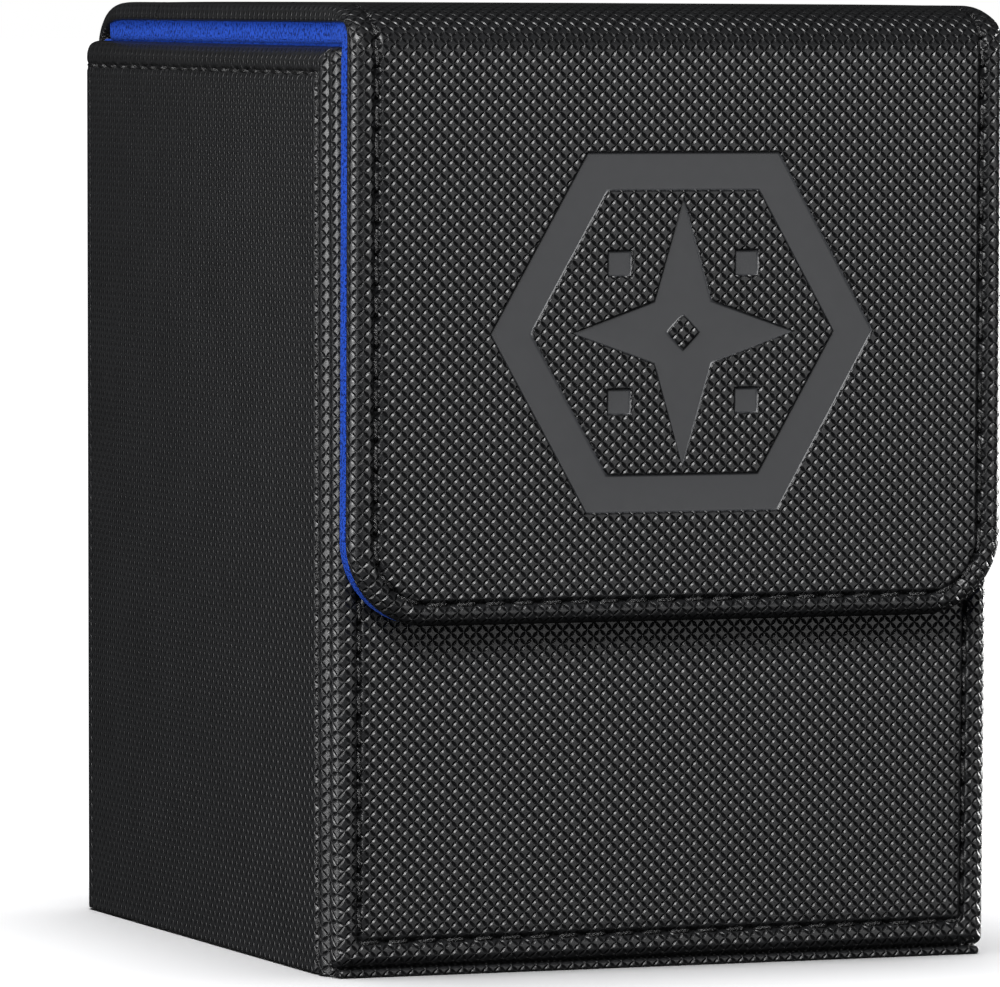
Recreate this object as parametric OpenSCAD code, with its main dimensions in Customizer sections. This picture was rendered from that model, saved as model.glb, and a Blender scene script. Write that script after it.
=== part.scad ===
// Card deck box: a rigid leather-covered box with a blue suede lining, and a one-piece
// wrap that forms the back, the lid and a magnetic front flap.
// X runs across the width, the front faces -Y, Z is up, and the box stands on z = 0.

/* [Box] */
// Outer width across the two side walls
box_w = 75; // [71:1:95]
// Depth from the front panel's face to the rear corners of the side walls
box_d = 77; // [60:1:110]
// Height of the side walls
wall_h = 96; // [94:1:120]
// How far the front panel's side edges stay inside the side walls' faces
front_inset = 0.3; // [0.2:0.1:0.8]
// Height of the base strip that shows under the front panel
base_lip_h = 0.85; // [0.6:0.05:1.2]

/* [Sheets] */
// Leather thickness
leather_t = 0.6; // [0.5:0.1:0.8]
// Greyboard thickness in every wall, the lid and the flap
board_t = 1.3; // [1.2:0.1:1.8]
// Suede lining of the walls, on thin card
lining_t = 1.1; // [0.8:0.1:1.4]
// Suede lining of the lid and the flap, on thick card
cap_lining_t = 1.8; // [1.6:0.1:2.4]
// Thickness of the wrap where it is glued to the back
back_wrap_t = 1.5; // [1.2:0.1:2.0]
// Outer radius of the rolled leather edges
edge_r = 1.2; // [0.8:0.1:1.6]

/* [Lid and flap] */
// How far the lid and the flap stay inside the side walls' faces
cap_inset = 0.7; // [0.5:0.1:1.2]
// How far the wrap's back stays inside the side walls' faces
wrap_inset = 2; // [2:0.1:3]
// Height of the flap's lower edge above the base
flap_bottom = 36.4; // [25:0.2:60]
// Radius of the flap's lower corners
flap_corner_r = 8.8; // [6:0.2:10]
// Free gap between the flap's lining and the front panel
flap_gap = 0.25; // [0.25:0.05:0.5]
// Free gap between the wall linings and the lid's lining
lid_gap = 0.3; // [0.3:0.05:0.5]
// Length of soft crease on each side of the wrap's two bends
crease = 6; // [5.6:0.2:8]

/* [Magnets] */
// Magnet diameter
magnet_d = 8; // [6:1:10]
// Magnet thickness
magnet_t = 1; // [0.8:0.1:1.1]
// Distance from the middle to each magnet
magnet_x = 18; // [14:1:24]
// Height of the magnets above the flap's lower edge
magnet_rise = 9; // [8:1:14]

/* [Stitching] */
// Distance of the seams from the panel edges
seam_inset = 2.7; // [2.4:0.1:3.4]
// Stitch pitch
stitch_pitch = 3.2; // [3:0.1:4]
// Length of thread that shows in each stitch
stitch_len = 2; // [1.8:0.1:2.7]
// Thread thickness
thread_t = 0.45; // [0.4:0.05:0.5]
// Radius of the seam at the flap's lower corners
seam_corner_r = 6; // [3.6:0.2:7]

/* [Emblem] */
// Height of the pressed emblem's middle above the base
emblem_z = 66.4; // [62:0.2:70]
// Radius of the hexagon ring, corner to middle
emblem_r = 21.5; // [16:0.5:23]
// Depth of the pressing
emblem_depth = 0.25; // [0.1:0.05:0.3]

/* [Hidden] */
$fn = 48;
eps = 0.01;
panel_t = leather_t + board_t;            // leather on board
lining_top = wall_h + 0.2;                // the wall linings stand a little proud
lid_under = lining_top + lid_gap;         // underside of the closed lid's lining
total_h = lid_under + cap_lining_t + panel_t;
total_d = box_d + back_wrap_t + flap_gap + cap_lining_t + panel_t;
flap_y = -total_d / 2;                    // outer face of the flap
back_y = total_d / 2;                     // outer face of the back
front_y = flap_y + panel_t + cap_lining_t + flap_gap;
side_y = front_y + panel_t;               // front end of the side walls
rear_y = front_y + box_d;                 // rear end of the side walls
side_x = box_w / 2;
wall_x = side_x - panel_t;                // inner face of the side boards
room_x = wall_x - lining_t;               // inner face of the side linings
front_x = side_x - front_inset;
cap_x = side_x - cap_inset;
wrap_x = side_x - wrap_inset;
lip_gap = 0.1;                            // between the base strip and the front panel
front_z0 = base_lip_h + lip_gap;
front_z1 = wall_h - 0.2;
back_top = wall_h - 1;                    // the back wall stops under the rear bend
lid_y0 = flap_y + crease;
lid_y1 = back_y - crease - 1;
flap_top = total_h - crease;
groove_w = 0.75;
groove_depth = 0.3;
fold_leather_t = 1.2;                     // the bends have no board in them
fold_lining_t = 1.2;
magnet_z = flap_bottom + magnet_rise;
floor_z = panel_t + lining_t;
side_len = rear_y - side_y;

leather_black = [0.11, 0.11, 0.12];
thread_black = [0.05, 0.05, 0.055];
suede_blue = [0.1, 0.22, 0.68];
greyboard = [0.55, 0.53, 0.49];
magnet_steel = [0.72, 0.73, 0.75];

// ---- shared shapes ----

// A box given by its lowest and highest corners
module block(lo, hi) {
    translate(lo) cube(hi - lo);
}

// The bit to take off a square corner at the origin (material towards +x, +y) to round it
module corner_cut(r) {
    difference() {
        translate([-eps, -eps]) square(r + eps);
        translate([r, r]) circle(r);
    }
}

// Rectangle from the origin with rounded corners at y = 0, and optionally only the first of them
module front_rounded(w, t, r, both = true) {
    difference() {
        square([w, t]);
        corner_cut(r);
        if (both) translate([w, 0]) mirror([1, 0]) corner_cut(r);
    }
}

// A panel lying in XZ whose four edges are rolled on its front face (y = 0 towards -Y)
module rolled_panel(w, h, t, r) {
    intersection() {
        linear_extrude(h) front_rounded(w, t, r);
        rotate([90, 0, 90]) linear_extrude(w) rotate(90) mirror([0, 1]) front_rounded(h, t, r);
    }
}

// A row of stitches from the origin along +X, lying on the plane y = 0 and facing -Y
module stitch_row(len) {
    count = floor((len - stitch_len) / stitch_pitch) + 1;
    start = (len - (count - 1) * stitch_pitch - stitch_len) / 2;
    for (i = [0 : count - 1])
        translate([start + i * stitch_pitch, -thread_t, -thread_t / 2])
            cube([stitch_len, thread_t, thread_t]);
}

// The groove that such a row lies in: the row's plane is the groove's floor
module groove_row(len) {
    translate([0, -groove_depth - 1, -groove_w / 2]) cube([len, groove_depth + 1, groove_w]);
}

// ---- base ----

module base_board() {
    color(greyboard) block([-wall_x, side_y, leather_t], [wall_x, rear_y, panel_t]);
}

module base_cover() {
    color(leather_black) {
        block([-wall_x, side_y, 0], [wall_x, rear_y, leather_t]);
        block([-front_x, front_y + 0.1, 0], [front_x, side_y, base_lip_h]);
    }
}

// ---- side walls ----

// The left wall's seam: along the top and down the front
module side_seam(grooves) {
    face = -side_x + groove_depth;
    top_z = wall_h - seam_inset;
    down_y = side_y + seam_inset;
    translate([face, rear_y - 0.6, top_z]) rotate([0, 0, -90])
        if (grooves) groove_row(rear_y - 0.6 - down_y + groove_w / 2);
        else stitch_row(rear_y - 0.6 - down_y);
    translate([face, down_y, top_z - (grooves ? 0 : 1)]) rotate([0, 90, -90])
        if (grooves) groove_row(top_z - 1);
        else stitch_row(top_z - 2);
}

module side_cover() {
    difference() {
        intersection() {
            translate([-side_x, side_y, 0]) linear_extrude(wall_h)
                difference() {
                    square([panel_t, side_len]);
                    corner_cut(edge_r);
                    translate([0, side_len]) mirror([0, 1]) corner_cut(leather_t);
                }
            translate([-side_x, rear_y, wall_h]) rotate([90, 0, 0]) linear_extrude(side_len)
                mirror([0, 1]) difference() {
                    square([panel_t, wall_h]);
                    corner_cut(edge_r);
                }
        }
        block([-side_x + leather_t, side_y + leather_t, leather_t],
              [-wall_x + eps, rear_y - leather_t, wall_h - leather_t]);
        side_seam(true);
    }
}

module side_board() {
    block([-side_x + leather_t, side_y + leather_t, leather_t],
          [-wall_x, rear_y - leather_t, wall_h - leather_t]);
}

module side_lining() {
    block([-wall_x, side_y, panel_t], [-room_x, rear_y - board_t, lining_top]);
}

module left_cover() { color(leather_black) side_cover(); }
module right_cover() { color(leather_black) mirror([1, 0, 0]) side_cover(); }
module left_board() { color(greyboard) side_board(); }
module right_board() { color(greyboard) mirror([1, 0, 0]) side_board(); }
module left_lining() { color(suede_blue) side_lining(); }
module right_lining() { color(suede_blue) mirror([1, 0, 0]) side_lining(); }
module left_stitching() { color(thread_black) side_seam(false); }
module right_stitching() { color(thread_black) mirror([1, 0, 0]) side_seam(false); }

// ---- front panel ----

// The seam runs round the whole panel
module front_seam(grooves) {
    x = front_x - seam_inset;
    z0 = front_z0 + seam_inset;
    z1 = front_z1 - seam_inset;
    over = grooves ? groove_w / 2 : -0.7;
    for (z = [z0, z1])
        translate([-x - over, front_y + groove_depth, z])
            if (grooves) groove_row(2 * (x + over)); else stitch_row(2 * (x + over));
    for (side = [-1, 1])
        translate([side * x, front_y + groove_depth, z0 - over]) rotate([0, -90, 0])
            if (grooves) groove_row(z1 - z0 + 2 * over); else stitch_row(z1 - z0 + 2 * over);
}

module front_pocket(grow) {
    block([-front_x + leather_t, front_y + leather_t, front_z0 + leather_t],
          [front_x - leather_t, side_y + grow, front_z1 - leather_t]);
}

module front_cover() {
    color(leather_black) difference() {
        translate([-front_x, front_y, front_z0])
            rolled_panel(2 * front_x, front_z1 - front_z0, panel_t, edge_r);
        front_pocket(eps);
        front_seam(true);
    }
}

module front_board() {
    color(greyboard) difference() {
        front_pocket(0);
        for (side = [-1, 1])
            translate([side * magnet_x, side_y + eps, magnet_z]) rotate([90, 0, 0])
                cylinder(d = magnet_d, h = magnet_t + eps);
    }
}

module front_lining() {
    color(suede_blue) block([-room_x, side_y, panel_t], [room_x, side_y + lining_t, lining_top]);
}

module front_stitching() { color(thread_black) front_seam(false); }

module box_magnets() {
    color(magnet_steel) for (side = [-1, 1])
        translate([side * magnet_x, side_y, magnet_z]) rotate([90, 0, 0])
            cylinder(d = magnet_d, h = magnet_t);
}

// ---- back ----

module back_seam(grooves) {
    x = wrap_x - seam_inset;
    z0 = seam_inset + 0.3;
    over = grooves ? groove_w / 2 : -0.7;
    translate([x + over, back_y - groove_depth, z0]) rotate([0, 0, 180])
        if (grooves) groove_row(2 * (x + over)); else stitch_row(2 * (x + over));
    for (side = [-1, 1])
        translate([side * x, back_y - groove_depth, z0 - over]) rotate([0, -90, 180])
            if (grooves) groove_row(flap_top - z0 + over + 1); else stitch_row(flap_top - z0 - 1);
}

module back_board() {
    color(greyboard) block([-wall_x, rear_y - board_t, panel_t], [wall_x, rear_y, back_top]);
}

module back_cover() {
    color(leather_black) difference() {
        block([-wrap_x, rear_y, 0.3], [wrap_x, back_y, flap_top]);
        back_seam(true);
    }
}

module back_lining() {
    color(suede_blue)
        block([-room_x, rear_y - board_t - lining_t, panel_t], [room_x, rear_y - board_t, back_top]);
}

module back_stitching() { color(thread_black) back_seam(false); }

module floor_lining() {
    color(suede_blue)
        block([-room_x, side_y + lining_t, panel_t],
              [room_x, rear_y - board_t - lining_t, floor_z]);
}

// ---- the wrap's two bends ----

// A quarter ring in YZ, bulging towards -Y and +Z, extruded over the given half width
module bend(half_w, r_out, t) {
    translate([-half_w, 0, 0]) rotate([90, 0, 90]) linear_extrude(2 * half_w)
        intersection() {
            difference() { circle(r_out); circle(r_out - t); }
            translate([-r_out, 0]) square(r_out);
        }
}

module front_fold() {
    color(leather_black) translate([0, lid_y0, flap_top]) bend(cap_x, crease, fold_leather_t);
}

module front_fold_lining() {
    color(suede_blue) translate([0, lid_y0, flap_top])
        bend(cap_x - 0.1, crease - fold_leather_t, fold_lining_t);
}

module rear_fold() {
    color(leather_black) {
        translate([0, back_y - crease, flap_top]) mirror([0, 1, 0])
            bend(wrap_x, crease, fold_leather_t);
        block([-wrap_x, lid_y1, total_h - fold_leather_t], [wrap_x, back_y - crease, total_h]);
    }
}

module rear_fold_lining() {
    r = crease - fold_leather_t;
    color(suede_blue) {
        intersection() {
            translate([0, back_y - crease, flap_top]) mirror([0, 1, 0])
                bend(room_x - 0.2, r, fold_lining_t);
            block([-box_w, 0, back_top + 0.1], [box_w, box_d, total_h]);
        }
        block([-room_x + 0.2, lid_y1, flap_top + r - fold_lining_t],
              [room_x - 0.2, back_y - crease, flap_top + r]);
    }
}

// ---- lid ----

module lid_seam(grooves) {
    x = cap_x - seam_inset;
    for (side = [-1, 1])
        translate([side * x, lid_y0 + (grooves ? -1 : 0.3), total_h - groove_depth])
            rotate([0, 0, 90]) rotate([-90, 0, 0])
                if (grooves) groove_row(lid_y1 - lid_y0 + 2);
                else stitch_row(lid_y1 - lid_y0 - 0.6);
}

module lid_pocket(grow) {
    block([-cap_x + leather_t, lid_y0 + leather_t, total_h - panel_t - grow],
          [cap_x - leather_t, lid_y1 - leather_t, total_h - leather_t]);
}

module lid_cover() {
    color(leather_black) difference() {
        block([-cap_x, lid_y0, total_h - panel_t], [cap_x, lid_y1, total_h]);
        lid_pocket(eps);
        lid_seam(true);
    }
}

module lid_board() { color(greyboard) lid_pocket(0); }

module lid_lining() {
    color(suede_blue)
        block([-cap_x + 0.1, lid_y0, lid_under], [cap_x - 0.1, lid_y1, total_h - panel_t]);
}

module lid_stitching() { color(thread_black) lid_seam(false); }

// ---- flap ----

// The flap's outline in XZ, pulled in by inset, from its rounded lower corners up to top
module flap_outline(inset, top, r = flap_corner_r) {
    x = cap_x - inset;
    z0 = flap_bottom + inset;
    rr = r - inset;
    translate([-x, z0 + rr]) square([2 * x, top - z0 - rr]);
    translate([-x + rr, z0]) square([2 * (x - rr), rr + eps]);
    for (side = [-1, 1]) translate([side * (x - rr), z0 + rr]) circle(rr);
}

// Stands an XZ outline up, from depth y0 to y1
module stand(y0, y1) {
    translate([0, y1, 0]) rotate([90, 0, 0]) linear_extrude(y1 - y0) children();
}

// The pressed emblem: a hexagon ring round a four-point star and four small diamonds
module emblem_outline() {
    ring_in = emblem_r * 0.79;
    star_r = [emblem_r * 0.58, emblem_r * 0.65];
    waist = emblem_r * 0.15;
    gem_at = emblem_r * 0.47;
    gem_r = emblem_r * 0.085;
    difference() {
        circle(emblem_r, $fn = 6);
        circle(ring_in, $fn = 6);
    }
    difference() {
        polygon([[star_r[0], 0], [waist, waist], [0, star_r[1]], [-waist, waist],
                 [-star_r[0], 0], [-waist, -waist], [0, -star_r[1]], [waist, -waist]]);
        circle(gem_r, $fn = 4);
    }
    for (a = [45 : 90 : 315]) rotate(a) translate([gem_at, 0]) circle(gem_r, $fn = 4);
}

module flap_seam(grooves) {
    x = cap_x - seam_inset;
    z0 = flap_bottom + seam_inset;
    r = seam_corner_r;
    face = flap_y + groove_depth;
    side_from = z0 + r;
    seam_len = flap_top - side_from;
    step = stitch_pitch / r * 180 / PI;
    translate([-x + r, face, z0])
        if (grooves) groove_row(2 * (x - r)); else stitch_row(2 * (x - r));
    for (side = [-1, 1]) {
        translate([side * x, face, side_from]) rotate([0, -90, 0])
            if (grooves) groove_row(seam_len + 1); else stitch_row(seam_len);
        if (grooves)
            stand(flap_y - 1, face) translate([side * (x - r), side_from]) intersection() {
                difference() { circle(r + groove_w / 2); circle(r - groove_w / 2); }
                translate([side > 0 ? 0 : -2 * r, -2 * r]) square(2 * r);
            }
        else
            for (a = [-1 : 1]) translate([side * (x - r), face, side_from])
                rotate([0, -45 * side + a * step, 0])
                    translate([-stitch_len / 2, -thread_t, -r - thread_t / 2])
                        cube([stitch_len, thread_t, thread_t]);
    }
}

module flap_cover() {
    color(leather_black) difference() {
        stand(flap_y, flap_y + panel_t) flap_outline(0, flap_top);
        stand(flap_y + leather_t, flap_y + panel_t + eps)
            flap_outline(leather_t, flap_top - leather_t);
        stand(flap_y - 1, flap_y + emblem_depth) translate([0, emblem_z]) emblem_outline();
        flap_seam(true);
    }
}

module flap_board() {
    color(greyboard) stand(flap_y + leather_t, flap_y + panel_t)
        flap_outline(leather_t, flap_top - leather_t);
}

module flap_lining() {
    color(suede_blue) difference() {
        stand(flap_y + panel_t, flap_y + panel_t + cap_lining_t) flap_outline(0.1, flap_top);
        for (side = [-1, 1])
            translate([side * magnet_x, flap_y + panel_t + magnet_t, magnet_z]) rotate([90, 0, 0])
                cylinder(d = magnet_d, h = magnet_t + eps);
    }
}

module flap_magnets() {
    color(magnet_steel) for (side = [-1, 1])
        translate([side * magnet_x, flap_y + panel_t + magnet_t, magnet_z]) rotate([90, 0, 0])
            cylinder(d = magnet_d, h = magnet_t);
}

module flap_stitching() { color(thread_black) flap_seam(false); }

base_board();
base_cover();
left_board();
left_cover();
right_board();
right_cover();
front_board();
front_cover();
back_board();
back_cover();
left_lining();
right_lining();
front_lining();
back_lining();
floor_lining();
box_magnets();
front_stitching();
left_stitching();
right_stitching();
back_stitching();
rear_fold();
rear_fold_lining();
lid_board();
lid_cover();
lid_lining();
lid_stitching();
front_fold();
front_fold_lining();
flap_board();
flap_cover();
flap_lining();
flap_magnets();
flap_stitching();
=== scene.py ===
"""Card deck box: embossed black leather, blue suede linings and a one-piece wrap with two soft bends."""

import math

import bmesh
import bpy
import numpy as np
from mathutils import Matrix, Vector, geometry, kdtree

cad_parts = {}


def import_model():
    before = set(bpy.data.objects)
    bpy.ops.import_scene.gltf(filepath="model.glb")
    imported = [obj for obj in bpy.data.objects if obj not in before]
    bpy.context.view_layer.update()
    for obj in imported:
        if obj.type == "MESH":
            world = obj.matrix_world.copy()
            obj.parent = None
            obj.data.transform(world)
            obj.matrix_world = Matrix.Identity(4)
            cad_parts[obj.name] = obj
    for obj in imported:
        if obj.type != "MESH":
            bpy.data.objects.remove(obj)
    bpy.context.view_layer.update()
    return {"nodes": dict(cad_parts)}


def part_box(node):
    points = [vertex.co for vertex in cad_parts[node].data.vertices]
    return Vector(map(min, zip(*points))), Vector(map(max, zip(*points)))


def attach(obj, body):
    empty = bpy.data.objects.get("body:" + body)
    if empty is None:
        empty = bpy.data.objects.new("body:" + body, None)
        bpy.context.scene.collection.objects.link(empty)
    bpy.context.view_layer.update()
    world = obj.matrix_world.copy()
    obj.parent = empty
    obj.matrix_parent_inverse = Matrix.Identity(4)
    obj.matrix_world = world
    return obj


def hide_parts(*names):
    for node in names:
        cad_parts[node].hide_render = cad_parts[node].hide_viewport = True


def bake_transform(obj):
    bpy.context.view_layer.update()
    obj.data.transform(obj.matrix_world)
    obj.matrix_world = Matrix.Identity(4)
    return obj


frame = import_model()

# ---- sizes, in millimetres ----
STEP = 0.3              # spacing of the points along the panel edges
KEEP_R = 0.6            # corner radius that inner rings keep
ROLL = 1.25             # radius of the rolled leather edges
WEAVE = 1.39            # period of the embossed diamonds
SEAM_INSET = 2.7        # distance of the seams from the edges
STITCH_PITCH = 3.2
STITCH_LEN = 2.0
THREAD_R = 0.22
PLY = 1.1               # length of one turn of the twisted thread
THREAD_SINK = 0.13      # how deep the thread's middle lies
THREAD_DIVE = 0.5       # how much deeper its ends go into their holes
THREAD_SLANT = 0.16     # how far a stitch leans across its seam
THREAD_TAIL = 0.1       # how far it runs past each end of the stitch
TROUGH = 0.26           # depth of the trough that the seam pulls in
TROUGH_W = 0.32
HOLE = 0.4              # extra depth of the slots between two stitches
HOLE_R = 0.27
CROWN = 0.16            # how far a panel bulges inside its seam
CROWN_REACH = 5.0       # the distance over which it does so
BAND = 0.07             # how far it bulges between its seam and its edge
TAPER = 0.011           # the body narrows by this share towards its base
CUT_Y = 18.0            # where the wrap's two pieces meet on the lid, out of sight
PRESS = 0.26            # depth of the pressed emblem
EMBLEM_Z = 66.4         # height of its middle
EMBLEM_R = 21.5
FLAP_R = 8.8            # radius of the flap's lower corners
SEAM_DROP = 0.45        # how much nearer the flap's seam runs to its lower edge than to its sides
SIDE_ROLL = 1.6         # radius of the side walls' rolled edges
SIDE_LEAN = 0.002       # the share by which their tops drop from the back to the front
FOOT_R = 0.3            # radius of the crisper edge at their foot
STRIP_H = 0.85          # height of the strip of the base that shows below the front
LID_RECESS = 0.6        # how far the lid's lining stays inside the flap's on each side
LID_PUFF = 0.4          # how far the nap of the lid's lining fills the gap over the walls

ROW_STEP = 2.0          # spacing of a sheet's rows and columns where it is flat
BEND_STEP = 0.3         # and of its rows over a bend
CLEAR = 0.4             # how far a sheet's inner points stay from its rings
CONTOUR_CLEAR = 0.35    # and from the contours that are pressed into it
CONTOUR_STEP = 0.8      # spacing of the points along those
UNDER_RIM = 1.4         # width of the flat rim round a sheet's underside
FOOT_REACH = 20.0       # the height over which a side wall evens out its crisper foot
SEWN_INSETS = (5.6, 4.6, 3.9, 3.4, 3.15, 3.0, 2.9, 2.8, 2.7, 2.6, 2.5, 2.4, 2.25, 2.0, 1.7)
PLAIN_INSETS = (2.4,)

WEAVE_UV = "weave"
CREASE = math.radians(50)    # edges that turn more than this stay sharp


def mm_box(node):
    lo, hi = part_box(node)
    return [1000 * c for c in lo], [1000 * c for c in hi]


FRONT, LEFT, FLAP, LID = map(mm_box, ("front_cover", "left_cover", "flap_cover", "lid_cover"))
BACK, BASE = map(mm_box, ("back_cover", "base_cover"))
TOP_Z, FLAP_Y, BACK_Y = LID[1][2], FLAP[0][1], BACK[1][1]
CAP_X, WRAP_X, SIDE_X = LID[1][0], BACK[1][0], -LEFT[0][0]
PANEL_T = LID[1][2] - LID[0][2]
LINING_T = LID[0][2] - mm_box("lid_lining")[0][2]
WALL_H = LEFT[1][2]


# ---- meshes ----

class Outline:
    """A rounded rectangle in a sheet's flat (x, v) plane, as rings with the same point count at every inset.
    radii: lower left, lower right, upper right, upper left. An open outline has no edge along its top."""

    def __init__(self, x0, x1, v0, v1, radii, open_top=False):
        self.x0, self.x1, self.v0, self.v1 = x0, x1, v0, v1
        self.radii, self.open_top = radii, open_top
        self.n_x = max(2, round((x1 - x0) / STEP))
        self.n_v = max(2, round((v1 - v0) / STEP))
        self.n_arc = [max(4, round(r * math.pi / 2 / STEP)) for r in radii]

    def ring(self, inset):
        xa, xb, va = self.x0 + inset, self.x1 - inset, self.v0 + inset
        vb = self.v1 if self.open_top else self.v1 - inset
        most = min(xb - xa, vb - va) * 0.45
        r = [min(max(c - inset, min(c, KEEP_R)), most) for c in self.radii]

        def arc(k, cx, cv, start):
            t = np.linspace(start, start + math.pi / 2, self.n_arc[k] + 1)
            return np.stack([cx + r[k] * np.cos(t), cv + r[k] * np.sin(t)], 1)

        def line(p, q, n):
            t = np.linspace(0, 1, n + 1)[1:-1, None]
            return np.array(p) * (1 - t) + np.array(q) * t

        low_left = arc(0, xa + r[0], va + r[0], math.pi)
        low_right = arc(1, xb - r[1], va + r[1], 1.5 * math.pi)
        bottom = line(low_left[-1], low_right[0], self.n_x)
        if self.open_top:
            down = line((xa, vb), low_left[0], self.n_v)
            up = line(low_right[-1], (xb, vb), self.n_v)
            return np.vstack([[[xa, vb]], down, low_left, bottom, low_right, up, [[xb, vb]]])
        up_right = arc(2, xb - r[2], vb - r[2], 0)
        up_left = arc(3, xa + r[3], vb - r[3], 0.5 * math.pi)
        return np.vstack([low_left, bottom, low_right, line(low_right[-1], up_right[0], self.n_v), up_right,
                          line(up_right[-1], up_left[0], self.n_x), up_left,
                          line(up_left[-1], low_left[0], self.n_v)])

    def inset_of(self, p):
        """Distance from the edges that exist, for points well inside."""
        d = np.minimum(np.minimum(p[:, 0] - self.x0, self.x1 - p[:, 0]), p[:, 1] - self.v0)
        return d if self.open_top else np.minimum(d, self.v1 - p[:, 1])


class Seam:
    """A row of stitches along a path in a sheet's flat plane."""

    def __init__(self, path, closed=False):
        path = np.vstack([path, path[:1]]) if closed else path
        self.along = np.concatenate([[0], np.cumsum(np.linalg.norm(np.diff(path, axis=0), axis=1))])
        self.path = path
        count = max(1, round(self.along[-1] / STITCH_PITCH))
        self.starts = (np.arange(count) + 0.5) * self.along[-1] / count - STITCH_LEN / 2
        self.line_tree = self.tree(self.at(np.arange(0, self.along[-1], 0.08)))
        slots = self.starts[:, None] - np.linspace(0.1, self.along[-1] / count - STITCH_LEN - 0.1, 5)
        self.hole_tree = self.tree(self.at(np.clip(slots.ravel(), 0, self.along[-1])))

    def at(self, s):
        return np.stack([np.interp(s, self.along, self.path[:, k]) for k in (0, 1)], -1)

    @staticmethod
    def tree(points):
        made = kdtree.KDTree(len(points))
        for i, p in enumerate(points):
            made.insert((p[0], p[1], 0), i)
        made.balance()
        return made

    def depth(self, p):
        """How far the seam pulls the leather in at each point."""
        line = np.array([self.line_tree.find((x, v, 0))[2] for x, v in p])
        hole = np.array([self.hole_tree.find((x, v, 0))[2] for x, v in p])
        return TROUGH * np.exp(-(line / TROUGH_W) ** 2) + HOLE * np.exp(-(hole / HOLE_R) ** 2)


def fill(loop, inner, contours=()):
    """Triangles over the area inside loop that use the inner points and follow the contours.
    The indices run over loop, then inner, then the contours' points."""
    points = [Vector(p) for p in np.vstack([loop, inner, *contours])]
    edges, base = [(i, (i + 1) % len(loop)) for i in range(len(loop))], len(loop) + len(inner)
    for c in contours:
        edges += [(base + i, base + (i + 1) % len(c)) for i in range(len(c))]
        base += len(c)
    _, _, faces, origin, _, _ = geometry.delaunay_2d_cdt(points, edges, [], 1, 1e-6, True)
    return [[origin[i][0] for i in f] for f in faces]


def lattice(outline, inset, dx, v_lines, keep_off=()):
    """Points inside a sheet, on columns and on the given rows, clear of the edge and of the contours."""
    count = max(2, round((outline.x1 - outline.x0 - 2 * inset) / dx))
    xs = np.linspace(outline.x0 + inset, outline.x1 - inset, count + 1)[1:-1]
    vs = np.array([v for v in v_lines if outline.v0 + inset + CLEAR < v < outline.v1 - 0.3
                   and (outline.open_top or v < outline.v1 - inset - CLEAR)])
    grid = np.stack(np.meshgrid(xs, vs), -1).reshape(-1, 2)
    radius = outline.radii[0]
    if radius - inset > KEEP_R:
        centre = np.array([outline.x1 - radius, outline.v0 + radius])
        near = (np.abs(grid[:, 0]) > centre[0]) & (grid[:, 1] < centre[1])
        away = np.linalg.norm(np.abs(grid) - centre, axis=1)
        grid = grid[~(near & (away > radius - inset - CLEAR))]
    if len(keep_off):
        tree = Seam.tree(np.vstack(keep_off))
        grid = grid[[tree.find((x, v, 0))[2] > CONTOUR_CLEAR for x, v in grid]]
    return grid


def rows(*spans):
    """Row positions: (from, to, spacing) for each span."""
    parts = [np.linspace(a, b, max(1, round((b - a) / step)), endpoint=False) for a, b, step in spans]
    return np.concatenate(parts)


def mesh_object(name, verts_mm, faces, materials, uv, face_material=None):
    me = bpy.data.meshes.new(name)
    me.from_pydata((np.asarray(verts_mm) * 0.001).tolist(), [], faces)
    for m in materials:
        me.materials.append(m)
    if face_material is not None:
        me.polygons.foreach_set("material_index", face_material)
    layer = me.uv_layers.new(name=WEAVE_UV)
    index = np.zeros(len(me.loops), np.int32)
    me.loops.foreach_get("vertex_index", index)
    layer.data.foreach_set("uv", (np.asarray(uv)[index] * 0.001).astype(np.float32).ravel())
    bm = bmesh.new()
    bm.from_mesh(me)
    bmesh.ops.recalc_face_normals(bm, faces=bm.faces)
    bm.to_mesh(me)
    bm.free()
    me.polygons.foreach_set("use_smooth", [True] * len(me.polygons))
    me.set_sharp_from_angle(angle=CREASE)
    obj = bpy.data.objects.new(name, me)
    bpy.context.scene.collection.objects.link(obj)
    return obj


def edge_profile(outline, thick, roll, under, sewn):
    """Rings from the face round the edge to the underside: inset, depth and length along the skin of each."""
    quarter = math.pi / 2
    room = min(outline.x1 - outline.x0, outline.v1 - outline.v0) / 2 - 0.1
    face = [e for e in (SEWN_INSETS if sewn else PLAIN_INSETS) if roll + 0.15 < e < room] + [roll]
    profile = [(e, 0.0, 0.0) for e in face]
    for t in np.linspace(0, quarter, 9 if roll > 0.8 else 5)[1:]:
        profile.append((roll * (1 - math.sin(t)), roll * (1 - math.cos(t)), roll * t))
    for d in np.linspace(roll, thick - under, 4)[1:]:
        profile.append((0.0, d, roll * quarter + d - roll))
    for t in np.linspace(0, quarter, 4)[1:]:
        skin = roll * quarter + thick - roll + under * t
        profile.append((under * (1 - math.cos(t)), thick - under + under * math.sin(t), skin))
    profile.append((min(UNDER_RIM, room), thick, roll * quarter + thick + UNDER_RIM))
    return profile


def face_depth(p, e, roll, crown, seam):
    """Depth of the face at points p that lie e inside the edge: crowned, and sunk along its seam."""
    if seam is None:
        return -crown * (1 - np.exp(-np.clip(e - roll, 0, None) / CROWN_REACH))
    inside = np.clip((e - SEAM_INSET) / CROWN_REACH, 0, None)
    between = np.clip((e - roll * 0.4) / (SEAM_INSET - roll * 0.4), 0, 1)
    return -crown * (1 - np.exp(-inside)) - BAND * np.sin(math.pi * between) + seam.depth(p)


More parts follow.
